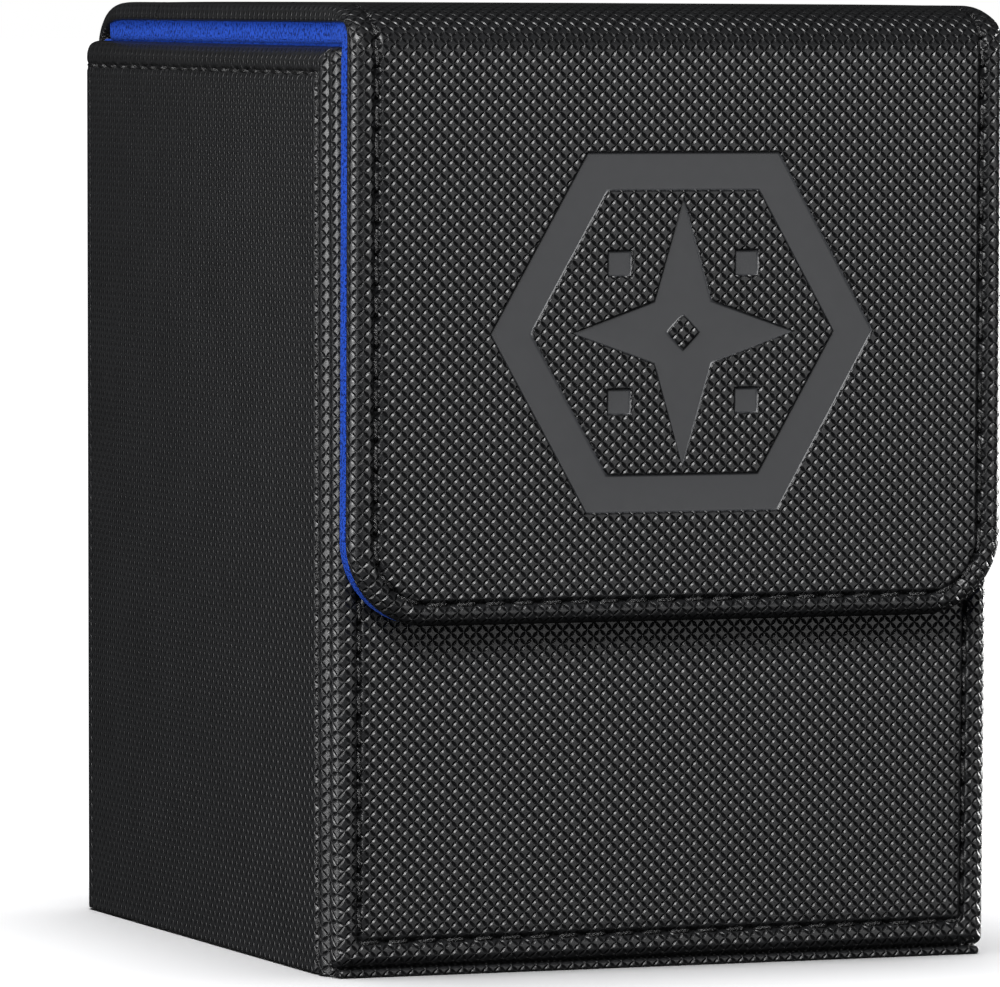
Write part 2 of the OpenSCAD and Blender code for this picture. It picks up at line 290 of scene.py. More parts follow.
def rim(outline, profile, roll, depth_at):
    """Points, depths and skin coordinates of every ring in a profile, and the faces between the rings."""
    outward = outline.ring(0.0) - outline.ring(max(roll, 0.05))
    outward /= np.linalg.norm(outward, axis=1)[:, None]
    points, depths, uvs, faces = [], [], [], []
    for e, d, skin in profile:
        ring = outline.ring(e)
        points.append(ring)
        fade = 1.0 if d == 0 else max(0.0, 1 - d / (0.5 * roll))
        extra = depth_at(ring, np.full(len(ring), e)) * fade if e >= 0.2 * roll and fade else 0
        depths.append(np.full(len(ring), d) + extra)
        uvs.append(ring if skin == 0 else outline.ring(roll) + outward * skin)
    n = len(points[0])
    last = n - 1 if outline.open_top else n
    for a in range(0, n * (len(profile) - 1), n):
        faces += [(a + i, a + (i + 1) % n, a + n + (i + 1) % n, a + n + i) for i in range(last)]
    return points, depths, uvs, faces


def sheet(name, outline, place, thick, materials, roll=ROLL, under=0.3, seam=None, crown=CROWN,
          v_lines=None, press=None, flip_v=None):
    """A closed sheet on a board: a filled face, rolled edges and a flat underside.
    place(x, v, depth) puts its points in the frame."""
    if v_lines is None:
        v_lines = rows((outline.v0, outline.v1, ROW_STEP))

    def depth_at(p, e):
        return face_depth(p, e, roll, crown, seam)

    profile = edge_profile(outline, thick, roll, under, seam is not None)
    points, depths, uvs, faces = rim(outline, profile, roll, depth_at)
    n, n_rings = len(points[0]), len(profile)
    total = n * n_rings
    cut_rows = []
    pressed = []
    for k in (0, n_rings - 1):
        on_top = k == 0
        loop, inset = points[k], profile[k][0]
        contours = press.contours if press and on_top else []
        if outline.open_top:
            x_last, x_first = loop[-1][0], loop[0][0]
            xs = np.linspace(x_last, x_first, max(2, round((x_last - x_first) / ROW_STEP)) + 1)[1:-1]
            loop = np.vstack([loop, np.stack([xs, np.full(len(xs), outline.v1)], 1)])
        inner = lattice(outline, inset, ROW_STEP, v_lines, contours)
        new = np.vstack([loop[n:], inner, *contours])
        ids = [*range(k * n, k * n + n), *range(total, total + len(new))]
        cut_rows.append(ids[n:len(loop)])
        tris = fill(loop, inner, contours)
        faces += [tuple(ids[i] for i in f) for f in tris]
        d_new = np.full(len(new), thick)
        if on_top:
            d_new = depth_at(new, np.maximum(outline.inset_of(new), inset))
        if contours:
            press.sink(new, d_new)
            where = np.vstack([*points, new])
            mids = np.array([where[list(f)].mean(0) for f in faces[-len(tris):]])
            pressed = np.flatnonzero(press.covers(mids)) + len(faces) - len(tris)
        points.append(new)
        depths.append(d_new)
        uvs.append(new)
        total += len(new)
    if outline.open_top:
        left, right = [k * n for k in range(n_rings)], [k * n + n - 1 for k in reversed(range(n_rings))]
        faces.append(tuple(left + cut_rows[1][::-1] + right + cut_rows[0]))

    p, d, uv = np.vstack(points), np.concatenate(depths), np.vstack(uvs)
    if flip_v is not None:
        uv = np.stack([uv[:, 0], flip_v - uv[:, 1]], 1)
    slots = None
    if press:
        slots = np.zeros(len(faces), np.int32)
        slots[pressed] = 1
    return mesh_object(name, place(p[:, 0], p[:, 1], d), faces, materials, uv, slots)


def unit(vectors):
    return vectors / np.linalg.norm(vectors, axis=-1)[..., None]


def threads(name, seam, place):
    """The visible stitches of a seam: twisted two-ply thread that dives into its needle holes."""
    t = np.linspace(0, 1, 25)
    around = np.linspace(0, 2 * math.pi, 10, endpoint=False)
    s = seam.starts[:, None] - THREAD_TAIL + (STITCH_LEN + 2 * THREAD_TAIL) * t
    flat = seam.at(np.clip(s, 0, seam.along[-1]))
    step = unit(np.gradient(flat, axis=1))
    across = np.stack([-step[..., 1], step[..., 0]], -1)
    flat = flat + across * (THREAD_SLANT * (t - 0.5))[None, :, None]
    d = np.broadcast_to(THREAD_SINK + THREAD_DIVE * np.abs(2 * t - 1) ** 5, s.shape)
    mid = place(flat[..., 0], flat[..., 1], d)
    out = unit(place(flat[..., 0], flat[..., 1], d - 0.1) - mid)
    aside = np.cross(unit(np.gradient(mid, axis=1)), out)
    ply = around - 2 * math.pi * s[..., None] / PLY
    rho = THREAD_R * (0.6 + 0.4 * np.abs(np.cos(ply)))
    spoke = np.cos(around)[:, None] * aside[:, :, None] + np.sin(around)[:, None] * out[:, :, None]
    ring = mid[:, :, None] + rho[..., None] * spoke
    uv = np.stack([a + 0 * rho for a in (s[..., None], around * THREAD_R)], -1)
    k, m = len(t), len(around)
    faces = []
    for at in range(0, len(seam.starts) * k * m, k * m):
        for a in range(at, at + (k - 1) * m, m):
            faces += [(a + j, a + (j + 1) % m, a + m + (j + 1) % m, a + m + j) for j in range(m)]
        faces.append(tuple(at + j for j in reversed(range(m))))
        faces.append(tuple(at + (k - 1) * m + j for j in range(m)))
    return mesh_object(name, ring.reshape(-1, 3), faces, [THREAD], uv.reshape(-1, 2))


# ---- the pressed emblem ----

def offset(poly, by):
    """A polygon moved outwards by this much, with the mitres of its sharp corners kept short."""
    p = np.array(poly, float)
    before, after = p - np.roll(p, 1, 0), np.roll(p, -1, 0) - p
    before /= np.linalg.norm(before, axis=1)[:, None]
    after /= np.linalg.norm(after, axis=1)[:, None]
    na, nb = np.stack([before[:, 1], -before[:, 0]], 1), np.stack([after[:, 1], -after[:, 0]], 1)
    bis = na + nb
    length = np.linalg.norm(bis, axis=1)
    return p + bis * (by * np.minimum(2 / length, 1.4) / length)[:, None]


def inside_polygon(points, poly):
    x, y = points[:, 0], points[:, 1]
    hit = np.zeros(len(points), bool)
    for (xa, ya), (xb, yb) in zip(poly, np.roll(poly, -1, 0)):
        if ya != yb:
            hit ^= ((ya > y) != (yb > y)) & (x < (xb - xa) * (y - ya) / (yb - ya) + xa)
    return hit


class Emblem:
    """A hexagon ring round a four-pointed star and four small squares, sized as shares of its radius."""
    RING_INNER = 0.79
    STAR_WIDE, STAR_HIGH, STAR_WAIST = 0.58, 0.65, 0.15
    GEM, GEM_AT = 0.085, 0.47
    WALL = ((0.25, 0.0), (0.13, 0.02), (0.05, 0.28), (-0.05, 0.82), (-0.13, 0.98), (-0.25, 1.0))

    def __init__(self, centre_v, r):
        def ngon(n, radius, cx=0.0, cv=0.0):
            a = np.arange(n) * 2 * math.pi / n
            return np.stack([cx + radius * np.cos(a), centre_v + cv + radius * np.sin(a)], 1)

        wide, high = self.STAR_WIDE * r, self.STAR_HIGH * r
        waist, gem = self.STAR_WAIST * r, self.GEM * r
        star = [(wide, 0), (waist, waist), (0, high), (-waist, waist),
                (-wide, 0), (-waist, -waist), (0, -high), (waist, -waist)]
        star = np.array(star) + [0, centre_v]
        self.shapes = [(ngon(6, r), 1), (ngon(6, self.RING_INNER * r), -1), (star, 1), (ngon(4, gem), -1)]
        for sx in (-1, 1):
            for sv in (-1, 1):
                cx, cv = (sign * self.GEM_AT * r * math.sqrt(0.5) for sign in (sx, sv))
                self.shapes.append((self.turned(ngon(4, gem, cx, cv), cx, centre_v + cv), 1))
        self.contours, depths = [], []
        for poly, side in self.shapes:
            for off, share in self.WALL:
                c = self.dense(offset(poly, off * side))
                self.contours.append(c)
                depths.append(np.full(len(c), share * PRESS))
        self.depths = np.concatenate(depths)

    @staticmethod
    def turned(poly, cx, cv):
        """The same polygon turned an eighth of a turn, so that its corners point along the diagonals."""
        p, c = poly - [cx, cv], math.sqrt(0.5)
        return np.stack([c * (p[:, 0] - p[:, 1]), c * (p[:, 0] + p[:, 1])], 1) + [cx, cv]

    @staticmethod
    def dense(poly):
        parts = []
        for a, b in zip(poly, np.roll(poly, -1, 0)):
            n = max(1, round(np.linalg.norm(b - a) / CONTOUR_STEP))
            t = np.linspace(0, 1, n, endpoint=False)[:, None]
            parts.append(a * (1 - t) + b * t)
        return np.vstack(parts)

    def sink(self, points, depths):
        """Presses down the points that it covers. The last of them are its own contours."""
        rest = len(points) - len(self.depths)
        depths[rest:] += self.depths
        depths[:rest][self.covers(points[:rest])] += PRESS

    def covers(self, p):
        hit = np.zeros(len(p), bool)
        for poly, _ in self.shapes:
            hit ^= inside_polygon(p, poly)
        return hit


# ---- the wrap's paths in the YZ plane ----

def bezier(p0, p1, p2, p3, n):
    t = np.linspace(0, 1, n)[:, None]
    return sum(np.array(p) * w for p, w in zip((p0, p1, p2, p3),
               ((1 - t) ** 3, 3 * (1 - t) ** 2 * t, 3 * (1 - t) * t ** 2, t ** 3)))


def resampled(points, n):
    points = np.array(points, float)
    s = np.concatenate([[0], np.cumsum(np.linalg.norm(np.diff(points, axis=0), axis=1))])
    at = np.linspace(0, s[-1], n)
    return np.stack([np.interp(at, s, points[:, k]) for k in (0, 1)], 1)


def rounded_corner(a, corner, b, r, n):
    """From a to b through a right-angled corner of radius r."""
    a, corner, b = (np.array(p, float) for p in (a, corner, b))
    ua, ub = (a - corner) / np.linalg.norm(a - corner), (b - corner) / np.linalg.norm(b - corner)
    centre = corner + (ua + ub) * r
    t = np.linspace(0, math.pi / 2, n)[:, None]
    return np.vstack([[a], centre - ub * r * np.cos(t) - ua * r * np.sin(t), [b]])


class Path:
    """A sheet's outer and inner line in YZ, and its share of the full width at each point of them.
    v is the length along the outer line."""

    def __init__(self, outer, inner, thick, width=None):
        self.outer, self.inner, self.thick = np.array(outer), np.array(inner), thick
        self.v = np.concatenate([[0], np.cumsum(np.linalg.norm(np.diff(self.outer, axis=0), axis=1))])
        self.width = np.ones(len(self.v)) if width is None else np.array(width)

    def place(self, x, v, d):
        """x is scaled with the width there; depth runs from the outer line to the inner one."""
        share = d / self.thick
        y, z = ((1 - share) * np.interp(v, self.v, out) + share * np.interp(v, self.v, inward)
                for out, inward in zip(self.outer.T, self.inner.T))
        return np.stack([x * np.interp(v, self.v, self.width), y, z], -1)

    def bend_rows(self):
        """Rows for a sheet along this path: close together over the bend, which is all but its two ends."""
        low, high = self.v[1] - 3, self.v[-2] + 2
        return rows((0, low, ROW_STEP), (low, high, BEND_STEP), (high, self.v[-1], ROW_STEP))


FRONT_BEND = (8.6, 5.5)     # how far the front bend reaches along the lid and down the flap
REAR_BEND = (13.0, 5.0)
N_BEND = 41                 # points along a bend
FINE = 81                   # points along its curve before they are evened out
LID_LAP = 1.2               # how far the lid's lining runs past its card


def front_paths():
    """The flap's leather and its lining, from the flap's lower edge up, over the bend and along the lid."""
    y, z = FLAP_Y, TOP_Z
    by, bz = FRONT_BEND
    low, far = z - bz, y + by
    t, total_t = PANEL_T, PANEL_T + LINING_T
    soft_t = total_t + LID_PUFF
    outer = bezier((y, low), (y, z - 0.47 * bz), (y + 0.21 * by, z), (far, z), FINE)
    middle = rounded_corner((y + t, low), (y + t, z - t), (far, z - t), 1.5, 14)
    inner = rounded_corner((y + total_t, low), (y + total_t, z - soft_t), (far, z - soft_t), 0.3, 6)
    outer, middle, inner = (resampled(bend, N_BEND) for bend in (outer, middle, inner))

    def whole(y_depth, z_depth, bend, foot, end):
        return np.vstack([[(y + y_depth, foot)], bend, [(end, z - z_depth)]])

    foot = FLAP[0][2]
    leather = Path(whole(0, 0, outer, foot, CUT_Y), whole(t, t, middle, foot, CUT_Y), t)
    foot, end = foot + 0.1, mm_box("lid_lining")[1][1] + LID_LAP
    narrow = np.clip((np.arange(N_BEND + 2) - 1) / N_BEND, 0, 1)
    lining = Path(whole(t, t, middle, foot, end), whole(total_t, soft_t, inner, foot, end),
                  LINING_T, 1 - LID_RECESS / CAP_X * narrow)
    return leather, lining


def rear_paths():
    """The leather from the foot of the back up, over the bend and along the lid, and the lining behind it."""
    y, z = BACK_Y, TOP_Z
    by, bz = REAR_BEND
    foot, back_t = BACK[0][2], BACK[1][1] - BACK[0][1]
    bend = resampled(bezier((y, z - bz), (y, z - 0.5 * bz), (y - 0.13 * by, z), (y - by, z), FINE), N_BEND)
    tangent = np.gradient(bend, axis=0)
    tangent /= np.linalg.norm(tangent, axis=1)[:, None]
    normal = np.stack([-tangent[:, 1], tangent[:, 0]], 1)
    share = np.linspace(0, 1, N_BEND)
    thick = back_t + (PANEL_T - back_t) * np.clip(share / 0.3, 0, 1)
    outer = np.vstack([[(y, foot)], bend, [(CUT_Y, z)]])
    inner = np.vstack([[(y - back_t, foot)], bend + normal * thick[:, None], [(CUT_Y, z - PANEL_T)]])
    ease = np.clip((share - 0.1) / 0.75, 0, 1)
    width = WRAP_X + (CAP_X - WRAP_X) * ease ** 2 * (3 - 2 * ease)
    leather = Path(outer, inner, PANEL_T, np.concatenate([[WRAP_X], width, [CAP_X]]) / CAP_X)

    (_, y_in, low), (_, y_out, top) = mm_box("back_lining")
    under, start, y_end = z - PANEL_T, top - 1.0, y_in - 4.6
    face = bezier((y_in, start), (y_in, top + 0.9), (y_in - 1.4, under - 1.2), (y_end, under - 1.2), 25)
    rear = bezier((y_out, start), (y_out, top + 1.4), (y_out - 1.4, under), (y_end, under), 25)
    return leather, Path(np.vstack([[(y_in, low)], face]), np.vstack([[(y_out, low)], rear]), y_out - y_in)


# ---- materials ----

# The groove colour below is painted shade for the bottoms of the weave's dips, not a colour of the leather.
PAD_BLACK, GROOVE_SHADE_BLACK = (0.008, 0.0082, 0.0088, 1.0), (0.0015, 0.0015, 0.0017, 1.0)
# The pressed colours below are painted lighter than the leather, as painted reflection of the lights on the
# emblem's smooth flat.
PRESSED_SHEEN_DARK, PRESSED_SHEEN_LIGHT = (0.021, 0.0217, 0.0237, 1.0), (0.026, 0.0268, 0.0292, 1.0)
THREAD_DARK, THREAD_LIGHT = (0.0015, 0.0015, 0.0017, 1.0), (0.006, 0.006, 0.0065, 1.0)
# The pit colour below is painted shade in the hollows of the nap.
PIT_SHADE_BLUE = (0.0004, 0.004, 0.05, 1.0)
NAP_BLUE, BRUSHED_BLUE = (0.0055, 0.03, 0.21, 1.0), (0.009, 0.04, 0.29, 1.0)
BOARD_DARK, BOARD_LIGHT = (0.2, 0.185, 0.155, 1.0), (0.33, 0.31, 0.265, 1.0)
NICKEL_DARK, NICKEL_LIGHT = (0.48, 0.48, 0.5, 1.0), (0.6, 0.6, 0.62, 1.0)


class Nodes:
    """A material's node tree, with short calls for adding nodes."""

    def __init__(self, name):
        self.material = bpy.data.materials.new(name)
        self.material.use_nodes = True
        self.tree = self.material.node_tree
        self.shader = self.tree.nodes["Principled BSDF"]

    def put(self, socket, value):
        if isinstance(value, bpy.types.NodeSocket):
            self.tree.links.new(value, socket)
        else:
            socket.default_value = value

    def add(self, kind, out=0, inputs=None, **settings):
        node = self.tree.nodes.new("ShaderNode" + kind)
        for k, v in settings.items():
            setattr(node, k, v)
        for k, v in (inputs or {}).items():
            self.put(node.inputs[k], v)
        return node.outputs[out]

    def math(self, op, a, b=0.0, c=0.0):
        return self.add("Math", inputs={0: a, 1: b, 2: c}, operation=op)

    def mix(self, share, a, b):
        """Mixes two colours."""
        return self.add("Mix", out=2, inputs={0: share, 6: a, 7: b}, data_type="RGBA")

    def scaled(self, vector, factor):
        return self.add("VectorMath", inputs={0: vector, "Scale": factor}, operation="SCALE")

    def noise(self, vector, scale, detail=2.0, rough=0.5):
        settings = {"Vector": vector, "Scale": scale, "Detail": detail, "Roughness": rough}
        return self.add("TexNoise", inputs=settings)

    def set(self, **values):
        for k, v in values.items():
            self.put(self.shader.inputs[k.replace("_", " ")], v)

    def bump(self, height_mm):
        normal = self.add("Bump", inputs={"Height": height_mm, "Distance": 0.001, "Strength": 1.0})
        self.put(self.shader.inputs["Normal"], normal)

    def sheet_mm(self):
        """The sheet's own coordinates in millimetres."""
        return self.scaled(self.add("UVMap", uv_map=WEAVE_UV), 1000.0)


def leather_material():
    """Black faux leather with the embossed weave: a leaf-shaped dimple on every side of every diamond."""
    n = Nodes("black_leather")
    at = n.sheet_mm()
    u = n.add("SeparateXYZ", inputs={0: at})
    v = u.node.outputs[1]
    a = n.math("DIVIDE", n.math("ADD", u, v), WEAVE)
    b = n.math("DIVIDE", n.math("SUBTRACT", u, v), WEAVE)
    cell = WEAVE / math.sqrt(2)
    dips = []
    for across, along in ((a, b), (b, a)):
        nearest = n.math("SUBTRACT", n.math("FRACT", n.math("ADD", across, 0.5)), 0.5)
        off = n.math("MULTIPLY", n.math("ABSOLUTE", nearest), cell)
        leaf = n.math("ABSOLUTE", n.math("SINE", n.math("MULTIPLY", along, math.pi)))
        width = n.math("MULTIPLY_ADD", leaf, 0.17, 0.04)
        dips.append(n.math("MULTIPLY", n.math("MAXIMUM", n.math("SUBTRACT", width, off), 0.0), 0.68))
    dip = n.math("MAXIMUM", dips[0], dips[1])
    grain = n.noise(at, 5.0, 3.0, 0.6)
    pores = n.noise(at, 14.0, 2.0)
    patches = n.noise(at, 0.12, 3.0)
    n.bump(n.math("SUBTRACT", n.math("MULTIPLY_ADD", grain, 0.02, n.math("MULTIPLY", pores, 0.006)), dip))
    # The dips are painted darker the deeper they go: painted shade in the weave's recesses.
    deep = n.math("DIVIDE", dip, 0.14)
    tone = n.math("MULTIPLY_ADD", patches, 0.5, 0.75)
    n.set(Base_Color=n.scaled(n.mix(deep, PAD_BLACK, GROOVE_SHADE_BLACK), tone), IOR=1.38)
    n.set(Roughness=n.math("MULTIPLY_ADD", grain, 0.2, n.math("MULTIPLY_ADD", deep, -0.06, 0.24)))
    return n.material


def pressed_material():
    """Where the stamp has pressed the weave flat. Its lighter colour is painted reflection of the lights on
    its smooth flat.
    """
    n = Nodes("pressed_leather")
    at = n.sheet_mm()
    grain = n.noise(at, 9.0, 3.0, 0.6)
    n.bump(n.math("MULTIPLY", grain, 0.008))
    # The lighter grey here is painted reflection, not a colour of the leather.
    n.set(Base_Color=n.mix(n.noise(at, 0.7, 2.0), PRESSED_SHEEN_DARK, PRESSED_SHEEN_LIGHT))
    n.set(Roughness=n.math("MULTIPLY_ADD", grain, 0.15, 0.34), IOR=1.45)
    return n.material


def suede_material():
    """Blue microfibre suede: short mottled nap with a soft sheen."""
    n = Nodes("blue_suede")
    at = n.sheet_mm()
    nap = n.noise(at, 2.8, 2.0, 0.65)
    fibre = n.noise(at, 16.0, 2.0, 0.6)
    n.bump(n.math("MULTIPLY_ADD", nap, 0.16, n.math("MULTIPLY", fibre, 0.06)))
    # Where the nap's bump is lowest the colour goes to near-black blue: painted shade in its pits.
    pit = n.add("MapRange", inputs={"Value": nap, "From Min": 0.41, "From Max": 0.51})
    light = n.mix(n.noise(at, 0.25, 2.0), NAP_BLUE, BRUSHED_BLUE)
    n.set(Base_Color=n.mix(pit, PIT_SHADE_BLUE, light), Roughness=0.95, Specular_IOR_Level=0.05)
    n.set(Sheen_Weight=0.12, Sheen_Roughness=0.5, Sheen_Tint=(0.15, 0.3, 1.0, 1.0))
    return n.material


def thread_material():
    """Black polyester thread with fibres along it."""
    n = Nodes("thread")
    stretched = n.add("VectorMath", inputs={0: n.sheet_mm(), 1: (2.0, 14.0, 1.0)}, operation="MULTIPLY")
    fibre = n.noise(stretched, 2.0, 2.0)
    n.bump(n.math("MULTIPLY", fibre, 0.08))
    n.set(Base_Color=n.mix(fibre, THREAD_DARK, THREAD_LIGHT))
    n.set(Roughness=n.math("MULTIPLY_ADD", fibre, 0.2, 0.2))
    return n.material


def board_material():
    """Raw greyboard: fine fibres and flecks."""
    n = Nodes("greyboard")
    fleck = n.noise(n.add("TexCoord", out=3), 900.0, 4.0, 0.7)
    n.bump(n.math("MULTIPLY", fleck, 0.05))
    n.set(Base_Color=n.mix(fleck, BOARD_DARK, BOARD_LIGHT), Roughness=0.9)
    return n.material


def magnet_material():
    """Nickel plating, a little worn."""
    n = Nodes("magnet")
    wear = n.noise(n.add("TexCoord", out=3), 700.0, 3.0)
    n.set(Base_Color=n.mix(wear, NICKEL_DARK, NICKEL_LIGHT))
    n.set(Metallic=1.0, Roughness=n.math("MULTIPLY_ADD", wear, 0.2, 0.2))
    return n.material


def floor_material():
    n = Nodes("floor")
    n.set(Base_Color=(0.86, 0.86, 0.87, 1.0), Roughness=0.9)
    return n.material


LEATHER, PRESSED, SUEDE = leather_material(), pressed_material(), suede_material()
THREAD, BOARD, MAGNET = thread_material(), board_material(), magnet_material()


# ---- pieces ----

def finish_piece(obj, nodes, body=None, bend=None):
    """Hides the CAD parts that a piece replaces and sets it to move with its body; a piece on a soft bend
    only has its transform baked where it is.
    """
    if bend:
        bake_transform(obj)
    else:
        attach(obj, body)
    if nodes:
        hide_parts(*nodes)


def suede_card(name, outline, place, thick, node, roll=0.45):
    """A suede lining inside the box."""
    card = sheet(name, outline, place, thick, [SUEDE], roll=roll, under=0.2, crown=0.05)
    finish_piece(card, [node], "box")


def tapered(x, z):
    """The walls lean in towards the foot of the box."""
    return x * (1 - TAPER * (1 - z / WALL_H))


def metres(y, z):
    return (0, y / 1000, z / 1000)


# Each soft bend: the body at its start, the one at its end, and the two points between which it turns.
REAR_TURN = ("box", "lid", metres(BACK_Y - 3.0, TOP_Z - 5.4), metres(BACK_Y - 7.0, TOP_Z - 2.2))
FRONT_TURN = ("lid", "flap", metres(FLAP_Y + 6.2, TOP_Z - 0.7), metres(FLAP_Y + 1.2, TOP_Z - 5.7))


def front_panel():
    """The front wall below the flap, sewn all round."""
    (x0, y0, z0), (x1, _, z1) = FRONT
    outline = Outline(x0, x1, z0, z1, [1.0] * 4)
    seam = Seam(outline.ring(SEAM_INSET), closed=True)

    def place(x, v, d):
        return np.stack([tapered(x, v), y0 + d, v], -1)

    panel = sheet("front_panel", outline, place, PANEL_T, [LEATHER], seam=seam)
    finish_piece(panel, ["front_cover", "front_board"], "box")
    finish_piece(threads("front_thread", seam, place), ["front_stitching"], "box")


def side_panel(side, label):
    """One side wall. Its top drops a little towards the front. Only its top and its front edge are sewn."""
    (_, y0, z0), (_, y1, z1) = LEFT
    outline = Outline(y0, y1, z0, z1, [0.8, 0.8, 1.0, 1.0])
    y_seam, z_seam = y0 + SEAM_INSET, z1 - SEAM_INSET
    corner = [(y_seam, z_seam - 0.3), (y_seam + 0.3, z_seam)]
    seam = Seam(np.array([(y_seam, z0 + 1.5), *corner, (y1 - 0.5, z_seam)]))

    def place(p, v, d):
        lean = 1 - SIDE_LEAN * (y1 - p) / (y1 - y0)
        drop = (SIDE_ROLL - FOOT_R) * np.clip(1 - (v - z0 - SIDE_ROLL) / FOOT_REACH, 0, 1)
        z = np.where(v < z0 + SIDE_ROLL, z0 + (v - z0) * FOOT_R / SIDE_ROLL, v - drop)
        return np.stack([side * tapered(SIDE_X - d, z), p + 0 * v, z * lean], -1)

    panel = sheet(label + "_panel", outline, place, PANEL_T, [LEATHER], roll=SIDE_ROLL, under=0.2, seam=seam)
    finish_piece(panel, [label + "_cover", label + "_board"], "box")
    finish_piece(threads(label + "_thread", seam, place), [label + "_stitching"], "box")


def wrap():
    """The one-piece wrap: flap, front bend and most of the lid in one sheet, the rest in another."""
    front, cap = front_paths()
    rear, back = rear_paths()
    wrap_front(front)
    cap_lining(cap)
    wrap_rear(rear, front.v[-1] + rear.v[-1])
    rear_lining(back)


def wrap_front(path):
    outline = Outline(0.1 - CAP_X, CAP_X - 0.1, 0.0, path.v[-1], [FLAP_R, FLAP_R, 1.0, 1.0], open_top=True)
    lower = Outline(outline.x0, outline.x1, -SEAM_DROP, path.v[-1], outline.radii, open_top=True)
    seam = Seam(lower.ring(SEAM_INSET))
    emblem = Emblem(EMBLEM_Z - FLAP[0][2], EMBLEM_R)
    piece = sheet("wrap_front", outline, path.place, PANEL_T, [LEATHER, PRESSED], seam=seam,
                  v_lines=path.bend_rows(), press=emblem)
    nodes = ["flap_cover", "flap_board", "front_fold", "lid_cover", "lid_board"]
    finish_piece(piece, nodes, bend=FRONT_TURN)
    thread = threads("wrap_front_thread", seam, path.place)
    finish_piece(thread, ["flap_stitching", "lid_stitching"], bend=FRONT_TURN)


def cap_lining(path):
    """The suede under the flap, the front bend and the lid."""
    r = FLAP_R - 0.1
    outline = Outline(-CAP_X + 0.1, CAP_X - 0.1, 0.0, path.v[-1], [r, r, 0.8, 0.8])
    piece = sheet("cap_lining", outline, path.place, LINING_T, [SUEDE], roll=0.12, under=0.4, crown=0.0,
                  v_lines=path.bend_rows())
    finish_piece(piece, ["flap_lining", "front_fold_lining", "lid_lining"], bend=FRONT_TURN)


def wrap_rear(path, weave_end):
    """weave_end is where its weave runs on from the front sheet's."""
    outline = Outline(-CAP_X, CAP_X, 0.0, path.v[-1], [1.2] * 4, open_top=True)
    seam = Seam(outline.ring(SEAM_INSET))
    piece = sheet("wrap_rear", outline, path.place, PANEL_T, [LEATHER], seam=seam, v_lines=path.bend_rows(),
                  flip_v=weave_end)
    finish_piece(piece, ["back_cover", "rear_fold"], bend=REAR_TURN)
    finish_piece(threads("wrap_rear_thread", seam, path.place), ["back_stitching"], bend=REAR_TURN)


def rear_lining(path):
    """The suede on the back wall and inside the rear bend."""
    half = mm_box("rear_fold_lining")[1][0]
    low, end = path.v[1] - 3, path.v[-1]
    piece = sheet("rear_lining", Outline(-half, half, 0.0, end, [0.6] * 4), path.place, path.thick, [SUEDE],
                  roll=0.3, under=0.3, crown=0.0, v_lines=rows((0, low, ROW_STEP), (low, end, BEND_STEP)))
    finish_piece(piece, ["back_lining", "rear_fold_lining"], bend=REAR_TURN)


def base():
    """The leather under the box, and the strip of it that shows below the front panel."""
    (_, y0, z0), (x1, y1, _) = BASE
    board_x, side_y = -mm_box("base_board")[0][0], LEFT[0][1]

    def strip_place(x, v, d):
        return np.stack([tapered(x, 0 * v), y0 + d, v], -1)

    def under_place(x, v, d):
        return np.stack([x + 0 * v, v, z0 + d], -1)

    strip = Outline(0.6 - x1, x1 - 0.6, z0, z0 + STRIP_H, [0.3] * 4)
    piece = sheet("base_strip", strip, strip_place, side_y - y0, [LEATHER], roll=0.3, under=0.2, crown=0.0,
                  v_lines=[])
    finish_piece(piece, [], "box")
    under = Outline(-board_x + 0.3, board_x - 0.3, side_y - 0.4, y1, [1.0] * 4)
    piece = sheet("base_panel", under, under_place, PANEL_T, [LEATHER], roll=0.4, crown=0.0)
    finish_piece(piece, ["base_cover", "base_board"], "box")


def linings():
    """The suede on the walls and the floor of the box."""
    for side, label in ((-1, "left"), (1, "right")):
        (xa, y0, z0), (xb, y1, z1) = mm_box(label + "_lining")
        face = min(abs(xa), abs(xb))

        def place(p, v, d, face=face, side=side):
            return np.stack([side * (face + d), p + 0 * v, v], -1)

        outline = Outline(y0, y1, z0, z1, [0.5] * 4)
        suede_card(label + "_lining_suede", outline, place, abs(xb - xa), label + "_lining")

    (x0, ya, z0), (x1, yb, z1) = mm_box("front_lining")

    def place_front(x, v, d):
        return np.stack([x + 0 * v, yb - d, v], -1)

    outline = Outline(x0, x1, z0, z1, [0.5] * 4)
    suede_card("front_lining_suede", outline, place_front, yb - ya, "front_lining")
    (x0, y0, z0), (x1, y1, z1) = mm_box("floor_lining")

    def place_floor(x, v, d):
        return np.stack([x + 0 * v, v, z1 - d], -1)

    outline = Outline(x0, x1, y0, y1, [0.5] * 4)
    suede_card("floor_lining_suede", outline, place_floor, z1 - z0, "floor_lining", roll=0.3)


def carried_nodes():
    """The CAD nodes that stay get their own materials."""
    for name, node in frame["nodes"].items():
        material = {"board": BOARD, "magnets": MAGNET}.get(name.split("_")[-1])
        if material:
            node.data.materials.clear()
            node.data.materials.append(material)


# ---- surroundings ----

FLOOR_SUN, FLOOR_SUN_WIDTH = 4.4, 36.0      # strength, and degrees across
WORLD_ON_BOX = 0.028                        # the studio's strength on the box, where the camera sees 1


